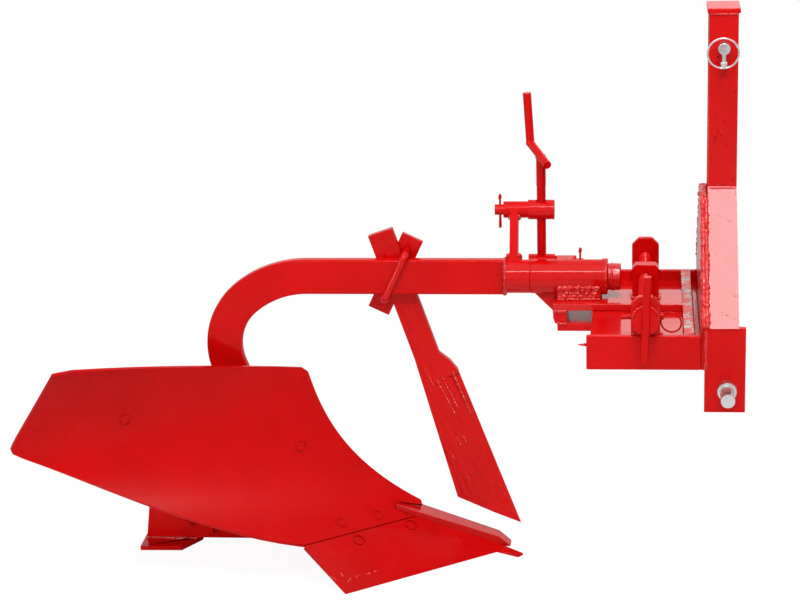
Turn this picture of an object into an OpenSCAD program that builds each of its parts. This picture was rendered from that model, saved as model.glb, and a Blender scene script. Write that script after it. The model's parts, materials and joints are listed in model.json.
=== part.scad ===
// Single-furrow mounted moldboard plough with a tilting, sideways-sliding beam.
// X points the way it travels, Y to the left (landside), Z up; the ground is Z = 0.

/* [Overall] */
// Length from the moldboard's wing tip to the front of the hitch brackets
overall_length = 1190; // [1170:5:1300]
// Height of the beam's centre line above the ground
beam_z = 489; // [480:1:510]
// Where the beam stands along the slide, left of the headstock's centre
plough_y = 45; // [-80:5:80]

/* [Beam] */
// Depth of the beam bar
beam_h = 60; // [50:1:70]
// Thickness of the beam bar
beam_t = 20; // [16:1:24]
// Radius of the easy bend where the gooseneck starts, at the middle of the bar
ease_r = 165; // [150:1:200]
// How far round the easy bend turns
ease_angle = 40; // [30:1:50]
// Radius of the tight bend that follows it
bend_r = 108; // [95:1:118]
// How far round the gooseneck turns in all
bend_angle = 112; // [100:1:118]
// Straight length of the beam below the gooseneck
foot_length = 226; // [200:1:240]

/* [Trunnion] */
// Outer diameter of the sleeve that the beam turns in
sleeve_d = 57; // [52:1:62]
// Length of the sleeve
sleeve_length = 127; // [110:1:130]
// Diameter of the trunnion shaft
trunnion_d = 40; // [34:1:44]
// Length of the collar between the beam and the sleeve
collar_length = 42; // [36:1:48]
// Diameter of the end cap that keeps the shaft in the sleeve
cap_d = 45; // [43:1:54]
// Length of the end cap
cap_length = 23; // [15:1:26]

/* [Tilt gear] */
// Diameter of the tilt screw
screw_d = 16; // [14:1:18]
// Diameter of both swivel blocks
swivel_d = 33; // [30:1:36]
// Length of both swivel blocks
swivel_length = 44; // [38:1:48]
// Diameter of the swivel pins
swivel_pin_d = 18; // [14:1:20]
// Distance of the swivels to the left of the beam's axis
swivel_y = 48; // [47:0.5:54]
// Height of the lower swivel above the beam's axis
lower_swivel_rise = 9; // [5:1:14]
// Height of the upper swivel above the beam's axis
upper_swivel_rise = 103; // [95:1:115]
// Diameter of the crank's bar
crank_d = 14; // [12:1:16]
// Length of the crank's grip
grip_length = 86; // [70:1:110]

/* [Carriage] */
// Width of the carriage along the slide
carriage_w = 90; // [80:1:110]
// Length of the carriage plate
carriage_length = 222; // [205:1:225]
// Thickness of the carriage plate
carriage_t = 12; // [8:1:14]
// Diameter of the offset screw
offset_d = 24; // [20:1:28]

/* [Headstock] */
// Width of the headstock over its side bars
headstock_w = 400; // [360:5:460]
// Length of the tray that the carriage slides on
tray_length = 175; // [165:1:185]
// Thickness of the tray
tray_t = 12; // [10:1:14]
// Height of the side bars
side_bar_h = 56; // [50:1:64]
// Thickness of the side bars
side_bar_t = 10; // [8:1:14]
// Depth of the mast's flat bars
mast_depth = 46; // [40:1:55]
// Thickness of the mast's flat bars
mast_t = 12; // [10:1:16]
// Gap between the mast bars for the top link
mast_gap = 52; // [48:1:60]

/* [Hitch] */
// Height from the lower link pins to the top link pin
mast_height = 512; // [480:1:540]
// Diameter of the lower link pins
link_pin_d = 22; // [20:0.5:24]
// Length of a lower link pin outside its shoulder
link_pin_length = 46; // [42:1:60]
// Diameter of the top link pin
top_pin_d = 19; // [17:0.5:20]
// Height of the hitch brackets
bracket_h = 138; // [128:1:150]
// Thickness of the hitch brackets
bracket_t = 12; // [10:1:16]

/* [Moldboard] */
// Thickness of the moldboard
moldboard_t = 6; // [5:0.5:8]
// Angle of the level lines to the direction of travel at the share
share_angle = 39; // [37:0.5:41]
// Smallest angle of the level lines, at the turn
turn_angle = 29; // [27:0.5:31]
// Angle of the level lines at the wing's top
top_angle = 38; // [35:0.5:40]
// Height of the joint between the share and the moldboard
joint_z = 64; // [62:0.5:66]

/* [Share and landside] */
// Thickness of the share at its joint
share_t = 10; // [8:0.5:12]
// Height of the landside bar
landside_h = 72; // [64:1:80]
// Thickness of the landside bar
landside_t = 10; // [8:0.5:12]
// Clearance of the landside over the ground
landside_lift = 4; // [3:0.5:6]
// Thickness of the heel's foot
foot_t = 7.5; // [6:0.5:7.5]

/* [Coulter] */
// Thickness of the knife coulter
coulter_t = 14; // [12:0.5:18]
// Diameter of the clamp bolt's rod
u_bolt_d = 13; // [11:0.5:14]

/* [Hidden] */
$fn = 64;
paint = [0.80, 0.05, 0.05];
zinc = [0.74, 0.75, 0.76];
running_gap = 0.3;

// Places along the length, measured back from the hitch and forward from the wing
front_x = overall_length / 2;
rear_x = -overall_length / 2;
bracket_depth = 64;
web_t = 12;
web_x = front_x - bracket_depth - 5;
mast_x = web_x + web_t;
tray_x = web_x - tray_length;
offset_x = web_x - 87;
carriage_front = web_x - 17.5;
carriage_x = carriage_front - carriage_length;
sleeve_x = carriage_x - 38.5;
sleeve_end = sleeve_x + sleeve_length;
collar_x = sleeve_x - running_gap - collar_length;
swivel_x = collar_x + 37;
screw_x = swivel_x + swivel_length / 2;
bend_x = rear_x + 465;
body_x = rear_x + 428;

// Heights, measured from the beam's axis
bend_z = beam_z - ease_r + (ease_r - bend_r) * cos(ease_angle);
hook_x = bend_x - (ease_r - bend_r) * sin(ease_angle);
bend_lap = 1;
lap_inset = 0.1;
tray_top = beam_z - 47.3;
tray_z = tray_top - tray_t;
plate_z = tray_top + running_gap;
plate_top = plate_z + carriage_t;
lip_h = 9.5;
lip_length = 40;
keeper_top = tray_z - lip_h - running_gap;
keeper_t = 13;
side_bar_top = tray_top + 18;
side_bar_z = side_bar_top - side_bar_h;
bracket_top = side_bar_top + 16.5;
link_pin_z = beam_z - 112;
top_pin_z = link_pin_z + mast_height;
mast_top = top_pin_z + 53;
offset_z = beam_z - 3.5;
lower_swivel_z = beam_z + lower_swivel_rise;
upper_swivel_z = beam_z + upper_swivel_rise;
half_w = headstock_w / 2;
mast_mid = mast_gap / 2 + mast_t / 2;
mast_bend_z = top_pin_z - 229;

// Sideways places on the plough body, from the beam's middle plane
land_y = 20;
frog_y = beam_t / 2;
frog_t = 12;
landside_y = frog_y + frog_t;

// A rod of diameter d from one point to another
module rod(from, to, d) {
  span = to - from;
  translate(from)
    rotate([0, acos(span[2] / norm(span)), atan2(span[1], span[0])])
      cylinder(d = d, h = norm(span));
}

// A rod along X
module rod_x(from, to, d) {
  translate([from, 0, 0]) rotate([0, 90, 0]) cylinder(d = d, h = to - from);
}

// A profile drawn in X and Z, given a thickness along Y from y0 to y1
module side_profile(points, y0, y1) {
  translate([0, y1, 0]) rotate([90, 0, 0]) linear_extrude(y1 - y0) polygon(points);
}

// A profile drawn in Y and Z, given a length along X from x0 to x1
module end_profile(points, x0, x1) {
  translate([x0, 0, 0]) rotate([90, 0, 90]) linear_extrude(x1 - x0) polygon(points);
}

module on_plough() {
  translate([0, plough_y, 0]) children();
}

// Beam: a flat bar bent into a gooseneck, first easily and then tightly, with a straight foot below.
// Each length laps into the one before it, a hair thinner.
module beam_bend(x, z, radius, from, to, inset) {
  translate([x, 0, z]) rotate([90, 0, 0]) rotate([0, 0, 90 + from])
    rotate_extrude(angle = to - from, $fn = 128)
      translate([radius - beam_h / 2 + inset / 2, -beam_t / 2 + inset / 2])
        square([beam_h - inset, beam_t - inset]);
}

module beam() {
  foot_h = beam_h - 2 * lap_inset;
  foot_w = beam_t - 2 * lap_inset;
  color(paint) on_plough() {
    translate([bend_x, -beam_t / 2, beam_z - beam_h / 2]) cube([collar_x - bend_x, beam_t, beam_h]);
    beam_bend(bend_x, beam_z - ease_r, ease_r, 0, ease_angle, 0);
    beam_bend(hook_x, bend_z, bend_r, ease_angle - bend_lap, bend_angle, lap_inset);
    translate([hook_x, 0, bend_z]) rotate([0, 90 - bend_angle, 0])
      translate([-bend_r - foot_h / 2, -foot_w / 2, -foot_length])
        cube([foot_h, foot_w, foot_length + 2 * bend_lap]);
  }
}

// Trunnion: the collar welded to the beam and the shaft that turns in the sleeve
module trunnion() {
  color(paint) on_plough() translate([0, 0, beam_z]) {
    rod_x(collar_x, collar_x + collar_length, sleeve_d - 1);
    rod_x(collar_x + collar_length, sleeve_end + running_gap, trunnion_d);
  }
}

module trunnion_cap() {
  color(paint) on_plough() translate([0, 0, beam_z])
    rod_x(sleeve_end + running_gap, sleeve_end + running_gap + cap_length, cap_d);
}

// Tilt arm: a plate on the collar that leans left and carries the upper swivel's boss
arm_t = 14;
arm_w = 28;
boss_d = swivel_pin_d + 10;
boss_length = 41;
module tilt_arm() {
  lean = atan2(swivel_y, upper_swivel_rise);
  color(paint) on_plough() translate([0, 0, beam_z]) difference() {
    union() {
      translate([collar_x + 7, 0, 0]) rotate([-lean, 0, 0]) {
        translate([0, -arm_w / 2, 0]) cube([arm_t, arm_w, norm([swivel_y, upper_swivel_rise])]);
        translate([-4, -arm_w / 2 - 3, 0]) cube([arm_t + 8, arm_w + 6, sleeve_d / 2 + 4]);
      }
      translate([0, swivel_y, upper_swivel_rise])
        rod_x(swivel_x - running_gap - boss_length, swivel_x - running_gap, boss_d);
    }
    rod_x(0, front_x, sleeve_d - 1);
    translate([0, swivel_y, upper_swivel_rise]) rod_x(0, front_x, swivel_pin_d + 2 * running_gap);
  }
}

// A swivel block with its pin to one side and a hole for the screw
module swivel(pin_from, pin_to, hole) {
  difference() {
    union() {
      rod_x(swivel_x, swivel_x + swivel_length, swivel_d);
      rod_x(pin_from, pin_to, swivel_pin_d);
    }
    translate([screw_x, 0, -swivel_d]) cylinder(d = hole, h = 2 * swivel_d);
  }
}

pin_overhang = 15;
screw_play = 3;
module upper_swivel() {
  color(paint) on_plough() translate([0, swivel_y, upper_swivel_z])
    swivel(swivel_x - boss_length - pin_overhang, swivel_x + 1, screw_d + screw_play);
}

// Sleeve: the tube on the carriage, with a ring at its front end
ring_length = 8;
module sleeve() {
  color(paint) on_plough() translate([0, 0, beam_z]) difference() {
    union() {
      rod_x(sleeve_x, sleeve_end, sleeve_d);
      rod_x(sleeve_end - ring_length, sleeve_end, sleeve_d + 3);
    }
    rod_x(0, front_x, trunnion_d + 2 * running_gap);
  }
}

// Lug: the lower swivel's boss, on a foot welded to the sleeve's left side
lug_length = 36;
lug_x = swivel_x + swivel_length + running_gap;
module sleeve_lug() {
  color(paint) on_plough() translate([0, 0, beam_z]) difference() {
    union() {
      translate([0, swivel_y, lower_swivel_rise]) rod_x(lug_x, lug_x + lug_length, boss_d);
      translate([lug_x + 4, sleeve_d / 4, lower_swivel_rise - boss_d / 2])
        cube([lug_length - 8, swivel_y - sleeve_d / 4, boss_d]);
    }
    rod_x(0, front_x, sleeve_d);
    translate([0, swivel_y, lower_swivel_rise]) rod_x(0, front_x, swivel_pin_d + 2 * running_gap);
  }
}

// Saddle: the block and the sloping gusset that carry the sleeve on the carriage plate
saddle_w = 50;
gusset_t = 14;
spacer_drop = 12;
module saddle() {
  gusset_r = carriage_x - sleeve_x;
  gusset_z = plate_z - spacer_drop;
  edge = [[sleeve_x, gusset_z + gusset_r], [carriage_x, gusset_z]];
  color(paint) on_plough() difference() {
    union() {
      side_profile(concat(edge, [[carriage_x, plate_top], [sleeve_end - ring_length, plate_top],
        [sleeve_end - ring_length, beam_z], [sleeve_x, beam_z]]), -gusset_t / 2, gusset_t / 2);
      translate([carriage_x + 6, -saddle_w / 2, plate_top])
        cube([sleeve_end - ring_length - carriage_x - 8, saddle_w, beam_z - plate_top - sleeve_d / 5]);
    }
    translate([0, 0, beam_z]) rod_x(0, front_x, sleeve_d);
  }
}

// Carriage: a plate above the tray, a spacer behind it and a keeper below, which hook round its rear lip
module carriage_plate() {
  color(paint) on_plough() translate([carriage_x, -carriage_w / 2, plate_z])
    cube([carriage_length, carriage_w, carriage_t]);
}

spacer_length = 23;
keeper_x = carriage_x + 7;
module carriage_spacer() {
  color(paint) on_plough() side_profile([[carriage_x, plate_z], [carriage_x, plate_z - spacer_drop],
    [keeper_x - 4, keeper_top], [carriage_x + spacer_length, keeper_top],
    [carriage_x + spacer_length, plate_z]], -carriage_w / 2, carriage_w / 2);
}

module carriage_keeper() {
  color(paint) on_plough() translate([keeper_x, -carriage_w / 2, keeper_top - keeper_t])
    cube([tray_x + lip_length - keeper_x, carriage_w, keeper_t]);
}

// Nut block that the offset screw drives
nut_w = 44;
nut_t = 22;
nut_top = offset_z + 26;
nut_chamfer = 6;
module offset_nut() {
  color(paint) on_plough() difference() {
    side_profile([[offset_x - nut_w / 2, plate_top], [offset_x + nut_w / 2, plate_top],
      [offset_x + nut_w / 2, nut_top - nut_chamfer], [offset_x + nut_w / 2 - nut_chamfer, nut_top],
      [offset_x - nut_w / 2 + nut_chamfer, nut_top], [offset_x - nut_w / 2, nut_top - nut_chamfer]],
      -nut_t / 2, nut_t / 2);
    translate([offset_x, 0, offset_z]) rotate([90, 0, 0])
      cylinder(d = offset_d + 2 * running_gap, h = 2 * nut_t, center = true);
  }
}

module lower_swivel() {
  color(paint) on_plough() translate([0, swivel_y, lower_swivel_z])
    swivel(swivel_x + swivel_length - 1, lug_x + lug_length + 12, screw_d);
}

// Crank: a bar laid across the screw's top and bent up into a grip
crank_near = [screw_x + 12, swivel_y - 31, upper_swivel_z + 83];
crank_elbow = [screw_x - 19, swivel_y + 37, upper_swivel_z + 106];
grip_top = crank_elbow + [-5, 0, grip_length];
module crank_arm() {
  rod(crank_near, crank_elbow, crank_d);
}

module tilt_crank() {
  color(paint) on_plough() {
    crank_arm();
    translate(crank_elbow) sphere(d = crank_d + 1);
    rod(crank_elbow, grip_top, crank_d);
  }
}

screw_tail = 24;
screw_top = upper_swivel_z + 94;
module tilt_screw() {
  color(paint) on_plough() difference() {
    translate([screw_x, swivel_y, lower_swivel_z - screw_tail])
      cylinder(d = screw_d, h = screw_top - lower_swivel_z + screw_tail);
    crank_arm();
  }
}

// Tray: the plate that the carriage slides on, with a thicker lip along its rear edge
module tray() {
  color(paint) side_profile([[tray_x, tray_top], [tray_x, tray_z - lip_h],
    [tray_x + lip_length, tray_z - lip_h], [tray_x + lip_length, tray_z], [web_x, tray_z],
    [web_x, tray_top]], -half_w + side_bar_t, half_w - side_bar_t);
}

module side_bar(side) {
  y = side > 0 ? half_w - side_bar_t : -half_w;
  color(paint) translate([tray_x - 5, y, side_bar_z]) cube([web_x - tray_x + 5, side_bar_t, side_bar_h]);
}

module side_bar_right() { side_bar(-1); }
module side_bar_left() { side_bar(1); }

// Guide rail: an angle on the tray that holds the carriage plate's front edge down
rail_t = 6;
rail_lap = 9;
module guide_rail() {
  rail_x = carriage_front + 1;
  cap_z = plate_top + running_gap;
  color(paint) side_profile([[rail_x, tray_top], [rail_x + rail_t, tray_top],
    [rail_x + rail_t, cap_z + rail_t], [carriage_front - rail_lap, cap_z + rail_t],
    [carriage_front - rail_lap, cap_z], [rail_x, cap_z]], -half_w + side_bar_t, half_w - side_bar_t);
}

// Offset brackets: plates with cut corners that hold the offset screw
offset_bracket_w = 46;
offset_bracket_t = 12;
module offset_bracket(side) {
  w = offset_bracket_w / 2;
  top = offset_z + 35;
  chamfer = 12;
  inner = half_w - side_bar_t - offset_bracket_t;
  y = side > 0 ? inner : -inner - offset_bracket_t;
  color(paint) difference() {
    side_profile([[offset_x - w, tray_top], [offset_x + w, tray_top], [offset_x + w, top - chamfer],
      [offset_x + w - chamfer, top], [offset_x - w + chamfer, top], [offset_x - w, top - chamfer]],
      y, y + offset_bracket_t);
    translate([offset_x, 0, offset_z]) rotate([90, 0, 0])
      cylinder(d = offset_d, h = 2 * headstock_w, center = true);
  }
}

module offset_bracket_right() { offset_bracket(-1); }
module offset_bracket_left() { offset_bracket(1); }

module offset_screw() {
  color(paint) translate([offset_x, half_w + 6, offset_z]) rotate([90, 0, 0])
    cylinder(d = offset_d, h = headstock_w + 6);
}

// Lever: a hub on the screw's right end with a bar welded across it
hub_d = 40;
hub_length = 26;
lever_d = 13;
lever_length = 138;
module offset_lever() {
  bar_y = -half_w - hub_length + side_bar_t - lever_d / 2 + 4;
  color(paint) {
    difference() {
      translate([offset_x, -half_w + side_bar_t, offset_z]) rotate([90, 0, 0])
        cylinder(d = hub_d, h = hub_length);
      translate([offset_x, 0, offset_z]) rotate([90, 0, 0]) cylinder(d = offset_d, h = half_w);
    }
    translate([offset_x - 2, bar_y, offset_z - lever_length / 2 + 7]) rotate([0, 2, 0])
      cylinder(d = lever_d, h = lever_length);
  }
}

// The mast bars run straight down beside the top link, then splay out to the hitch brackets
leg_y = half_w + bracket_t / 2;
splay = atan2(leg_y - mast_mid, mast_bend_z - bracket_top);
miter = mast_t / 2 * tan(splay / 2);
leg_half = mast_t / 2 / cos(splay);
module mast_bar(side) {
  outer = mast_mid + mast_t / 2;
  inner = mast_mid - mast_t / 2;
  color(paint) difference() {
    end_profile([for (p = [[inner, mast_top], [outer, mast_top], [outer, mast_bend_z + miter],
      [leg_y + leg_half, bracket_top], [leg_y - leg_half, bracket_top], [inner, mast_bend_z - miter]])
      [side * p[0], p[1]]], mast_x, mast_x + mast_depth);
    translate([mast_x + mast_depth / 2, 0, top_pin_z]) rotate([90, 0, 0])
      cylinder(d = top_pin_d + 2 * running_gap, h = headstock_w, center = true);
  }
}

module mast_bar_right() { mast_bar(-1); }
module mast_bar_left() { mast_bar(1); }

// Web plate: joins both mast bars behind, and carries the tray and the hitch brackets
module web_plate() {
  outer = mast_mid + mast_t / 2;
  top = mast_bend_z - 20;
  edge = [[half_w, side_bar_z], [half_w, bracket_top], [leg_y + leg_half, bracket_top],
    [outer + (mast_bend_z + miter - top) * tan(splay), top]];
  color(paint) end_profile(concat(edge, [for (i = [len(edge) - 1:-1:0]) [-edge[i][0], edge[i][1]]]),
    web_x, mast_x);
}

cap_t = 8;
module mast_cap() {
  color(paint) translate([mast_x - 3, -mast_mid - mast_t / 2 - 2, mast_top])
    cube([mast_depth + 6, 2 * mast_mid + mast_t + 4, cap_t]);
}

// Top link pin, put in from the left against its head
pin_head_d = 30;
pin_head_t = 10;
top_pin_end = 24;
module top_pin() {
  outer = mast_mid + mast_t / 2;
  color(zinc) translate([mast_x + mast_depth / 2, 0, top_pin_z]) rotate([90, 0, 0]) {
    translate([0, 0, -outer - pin_head_t]) cylinder(d = pin_head_d, h = pin_head_t);
    translate([0, 0, -outer]) cylinder(d = top_pin_d, h = 2 * outer + top_pin_end);
  }
}

link_pin_x = front_x - 29;
module hitch_bracket(side) {
  y = side > 0 ? half_w : -half_w - bracket_t;
  color(paint) difference() {
    translate([front_x - bracket_depth, y, bracket_top - bracket_h])
      cube([bracket_depth, bracket_t, bracket_h]);
    translate([link_pin_x, 0, link_pin_z]) rotate([90, 0, 0])
      cylinder(d = link_pin_d, h = 2 * headstock_w, center = true);
  }
}

module hitch_bracket_right() { hitch_bracket(-1); }
module hitch_bracket_left() { hitch_bracket(1); }

// Lower link pin: a shoulder outside the bracket and a nut inside it
shoulder_d = 30;
shoulder_t = 16;
nut_flats = 34;
pin_nut_t = 16;
module hitch_pin(side) {
  color(zinc) translate([link_pin_x, side * half_w, link_pin_z]) rotate([-90 * side, 0, 0]) {
    translate([0, 0, -pin_nut_t]) cylinder(d = nut_flats / cos(30), h = pin_nut_t, $fn = 6);
    cylinder(d = link_pin_d, h = bracket_t + shoulder_t + link_pin_length);
    translate([0, 0, bracket_t]) cylinder(d = shoulder_d, h = shoulder_t);
  }
}

module hitch_pin_right() { hitch_pin(-1); }
module hitch_pin_left() { hitch_pin(1); }

// The moldboard's face is swept by a level line. At height z the line starts at the shin,
// in the landside plane, and runs back and to the right at the angle line_angle(z).
shin_reach = 254;
shin_fall = 119;
turn_z = 220;
wing_top = [rear_x + 87, 396];
wing_tip = [rear_x - 4, 256];
shin_top = [body_x + 20, 323];
joint_wing = [body_x + 39, joint_z];
tip_x = body_x + 224;
lower_bow = [body_x - 195, 115];

function shin_x(z) = body_x + shin_reach * exp(-(z - joint_z) / shin_fall);
function line_angle(z) = z < turn_z
  ? turn_angle + (share_angle - turn_angle) * pow((turn_z - z) / (turn_z - joint_z), 2)
  : turn_angle + (top_angle - turn_angle) * pow((z - turn_z) / (wing_top[1] - turn_z), 2);
function face_y(x, z) = land_y - (shin_x(z) - x) * tan(line_angle(z));
function face(x, z) = [x, face_y(x, z), z];
// Backward normal of the face, from its slopes
function face_back(x, z) =
  let (step = 0.5, sx = (face_y(x + step, z) - face_y(x - step, z)) / (2 * step),
       sz = (face_y(x, z + step) - face_y(x, z - step)) / (2 * step))
  [-sx, 1, -sz] / norm([-sx, 1, -sz]);
function behind(x, z, d) = face(x, z) + d * face_back(x, z);

// Lower edge of the wing as a bowed line, the rear and top edges as straight ones
function bow_t(z) =
  let (a = joint_wing[1] - 2 * lower_bow[1] + wing_tip[1], b = 2 * (lower_bow[1] - joint_wing[1]))
  (-b + sqrt(b * b + 4 * a * (z - joint_wing[1]))) / (2 * a);
function lower_x(z) = let (t = bow_t(z))
  (1 - t) * (1 - t) * joint_wing[0] + 2 * t * (1 - t) * lower_bow[0] + t * t * wing_tip[0];
function along(a, b, z) = a[0] + (b[0] - a[0]) * (z - a[1]) / (b[1] - a[1]);
function soft_max(a, b, r) = (a + b + sqrt((a - b) * (a - b) + r * r)) / 2;
function edge_rear(z) = soft_max(lower_x(z), along(wing_tip, wing_top, z), 14);
function edge_front(z) = -soft_max(-min(shin_x(z), tip_x), -along(shin_top, wing_top, z), 10);

// A curved plate between two depths behind the face, over rows of heights
module face_plate(rows, front, rear, near, far, columns) {
  function at(i, j, d) =
    let (x = front[i] + (rear[i] - front[i]) * j / columns) behind(x, rows[i], d);
  n = len(rows);
  c = columns + 1;
  points = concat([for (i = [0:n - 1], j = [0:columns]) at(i, j, near)],
                  [for (i = [0:n - 1], j = [0:columns]) at(i, j, far)]);
  half = n * c;
  quads = [for (i = [0:n - 2], j = [0:columns - 1]) let (k = i * c + j) [k, k + 1, k + c + 1, k + c]];
  rim = concat([for (j = [0:columns]) j], [for (i = [1:n - 1]) i * c + columns],
               [for (j = [columns - 1:-1:0]) (n - 1) * c + j], [for (i = [n - 2:-1:1]) i * c]);
  m = len(rim);
  polyhedron(points, concat(
    [for (q = quads, k = [1, 2]) [q[0], q[k], q[k + 1]]],
    [for (q = quads, k = [1, 2]) [q[k + 1] + half, q[k] + half, q[0] + half]],
    [for (k = [0:m - 1], s = [0, 1]) let (a = rim[k], b = rim[(k + 1) % m])
      s == 0 ? [a, a + half, b] : [b, a + half, b + half]]));
}

wing_round = 5;
module moldboard() {
  top = wing_top[1] - wing_round;
  rows = [for (i = [0:38]) joint_z + (top - joint_z) * i / 38];
  color(paint) on_plough() difference() {
    face_plate(rows, [for (z = rows) edge_front(z)], [for (z = rows) edge_rear(z)], 0, moldboard_t, 14);
    share_bar_body(1);
  }
}

// Share: a plate that thins to its cutting edge, with a nose at its land end
share_rake = 35;
line = [cos(share_angle), sin(share_angle)];
ahead = [sin(share_angle), -cos(share_angle)];
share_gap = 0.3;
joint_gap = 1.8;
joint_step = joint_gap * cos(share_rake) * ahead;
top_land = [tip_x - 10, face_y(tip_x - 10, joint_z)] + joint_step;
top_wing = [joint_wing[0], face_y(joint_wing[0], joint_z)] + joint_step;
share_z = joint_z - joint_gap * sin(share_rake);
share_run = share_z / tan(share_rake);
edge_land = top_land + share_run * ahead + 104 * line;
edge_wing = top_wing + share_run * ahead + 21 * line;
nose_land = [edge_land[0] + 8, edge_land[1] + 17];
nose = [edge_land[0] + 46, edge_land[1] - 11];
nose_edge = [edge_land[0] + 38, edge_land[1] - 22];
land_skew = atan2(nose_land[1] - top_land[1], nose_land[0] - top_land[0]);
module share() {
  down = share_t * [ahead[0] * -sin(share_rake), ahead[1] * -sin(share_rake), -cos(share_rake)];
  t1 = [top_wing[0], top_wing[1], share_z];
  t2 = [top_land[0], top_land[1], share_z];
  t3 = [nose_land[0], nose_land[1], 8];
  land = [-sin(land_skew), cos(land_skew)];
  back_off = (down[0] * land[0] + down[1] * land[1]) / (line * land);
  b2 = t2 + down - back_off * [line[0], line[1], 0];
  points = [t1, t2, t3, concat(nose, 4), concat(nose_edge, 0), concat(edge_land, 0), concat(edge_wing, 0),
    t1 + down, b2, concat(nose_land, 1), concat(nose, 0)];
  faces = [[0, 1, 6], [1, 5, 6], [1, 2, 5], [2, 3, 5], [3, 4, 5], [0, 7, 8], [0, 8, 1], [1, 8, 9], [1, 9, 2],
    [2, 9, 10], [2, 10, 3], [3, 10, 4], [0, 6, 7], [7, 6, 8], [8, 6, 5], [8, 5, 9], [9, 5, 10], [10, 5, 4]];
  color(paint) on_plough() polyhedron(points, faces);
}

// Bar along the share's land edge
bar_drop = 0.351;
bar_t = 23;
bar_left = landside_y + landside_t - 2;
bar_top_x = tip_x + 131;
bar_top_z = 22.5;
bar_rear = tip_x - 45;
function bar_top(x) = bar_top_z + (bar_top_x - x) * bar_drop;
module share_bar_body(grow) {
  difference() {
    side_profile([[bar_rear - grow, bar_top(bar_rear) + grow], [bar_top_x + grow, bar_top_z + grow],
      [bar_top_x + 21 + grow, 4 - grow], [bar_top_x - 10, 4 - grow],
      [bar_rear - grow, bar_top(bar_rear) - bar_t - grow]], top_land[1] - 20, bar_left + grow);
    translate([top_land[0], top_land[1] + share_gap - grow, 0]) rotate([0, 0, land_skew])
      translate([-200, -100, -50]) cube([600, 100, 300]);
  }
}

module share_bar() {
  color(paint) on_plough() share_bar_body(0);
}

// Frog: a side plate on the beam's foot, a curved breast behind the moldboard and a seat under the share
breast_t = 9;
seat_t = 9;
module frog() {
  low = landside_lift + 4;
  breast_rows = [for (i = [0:10]) joint_z + 8 + 142 * i / 10];
  shin_back_edge = [for (z = [bar_top(bar_rear) + 4:20:215]) [shin_x(z) - 36, z]];
  last = shin_back_edge[len(shin_back_edge) - 1];
  under_bar = [[body_x - 70, low], [tip_x + 66, low], [tip_x + 66, bar_top(tip_x + 66) - bar_t - 1],
    [bar_rear - 2, bar_top(bar_rear) - bar_t - 1], [bar_rear - 2, shin_back_edge[0][1] - 4]];
  over_foot = [[last[0] - 60, last[1] + 25], [body_x - 78, last[1] + 5], [body_x - 70, 120]];
  breast_y = moldboard_t + share_gap;
  color(paint) on_plough() {
    side_profile(concat(under_bar, shin_back_edge, over_foot), frog_y, landside_y);
    intersection() {
      face_plate(breast_rows, [for (z = breast_rows) min(shin_x(z), tip_x - 50) - 10],
        [for (z = breast_rows) shin_x(z) - 130], breast_y, breast_y + breast_t, 4);
      translate([body_x - 190, -300, low]) cube([bar_rear - body_x + 188, 300 + landside_y, 300]);
    }
    share_seat();
  }
}

// The share's underside as a frame: X along the joint, Y down the slope, Z out of the face
module share_frame() {
  run = [ahead[0] * cos(share_rake), ahead[1] * cos(share_rake), -sin(share_rake)];
  up = [ahead[0] * sin(share_rake), ahead[1] * sin(share_rake), cos(share_rake)];
  under = atan2(share_t, share_run / cos(share_rake));
  origin = [top_land[0], top_land[1], share_z] - (share_t + share_gap) * up;
  multmatrix([[line[0], run[0], up[0], origin[0]], [line[1], run[1], up[1], origin[1]],
    [0, run[2], up[2], origin[2]], [0, 0, 0, 1]])
    rotate([under, 0, 0]) children();
}

// The seat that the share is bolted to, on a rib that stands out from the side plate
module share_seat() {
  rib_t = 12;
  rib_w = 96;
  rib_x = bar_rear - 42;
  low = landside_lift + 6;
  share_frame() translate([-155, 2, -seat_t]) cube([140, 44, seat_t]);
  difference() {
    translate([rib_x, frog_y - rib_w, low]) cube([rib_t, rib_w, share_z - 5 - low]);
    share_frame() translate([-400, -200, -seat_t / 2]) cube([800, 400, 300]);
  }
}

// Landside bar, cut away under the share's bar
module landside() {
  top = landside_lift + landside_h;
  cut = bar_rear - 24;
  color(paint) on_plough() side_profile([[rear_x + 195, foot_t + 0.3], [heel_x + 98, foot_t + 0.3],
    [heel_x + 98, landside_lift], [tip_x + 8, landside_lift],
    [tip_x + 8, bar_top(tip_x + 8) - bar_t - 1], [bar_rear - 2, bar_top(bar_rear) - bar_t - 1],
    [cut, top], [rear_x + 195, top]], landside_y, landside_y + landside_t);
}

// Heel: an upright plate bolted to the landside's rear end, welded on a foot with a cut corner
heel_x = rear_x + 163;
module heel() {
  color(paint) on_plough() {
    side_profile([[heel_x, foot_t], [heel_x + 90, foot_t], [heel_x + 118, landside_lift + 12],
      [heel_x + 118, landside_lift + landside_h], [heel_x + 8, landside_lift + landside_h]],
      frog_y, landside_y);
    linear_extrude(foot_t) polygon([[heel_x - 4, -30], [heel_x + 69, -28], [heel_x + 97, landside_y],
      [heel_x + 97, landside_y + landside_t], [heel_x - 4, landside_y + landside_t]]);
  }
}

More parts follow.
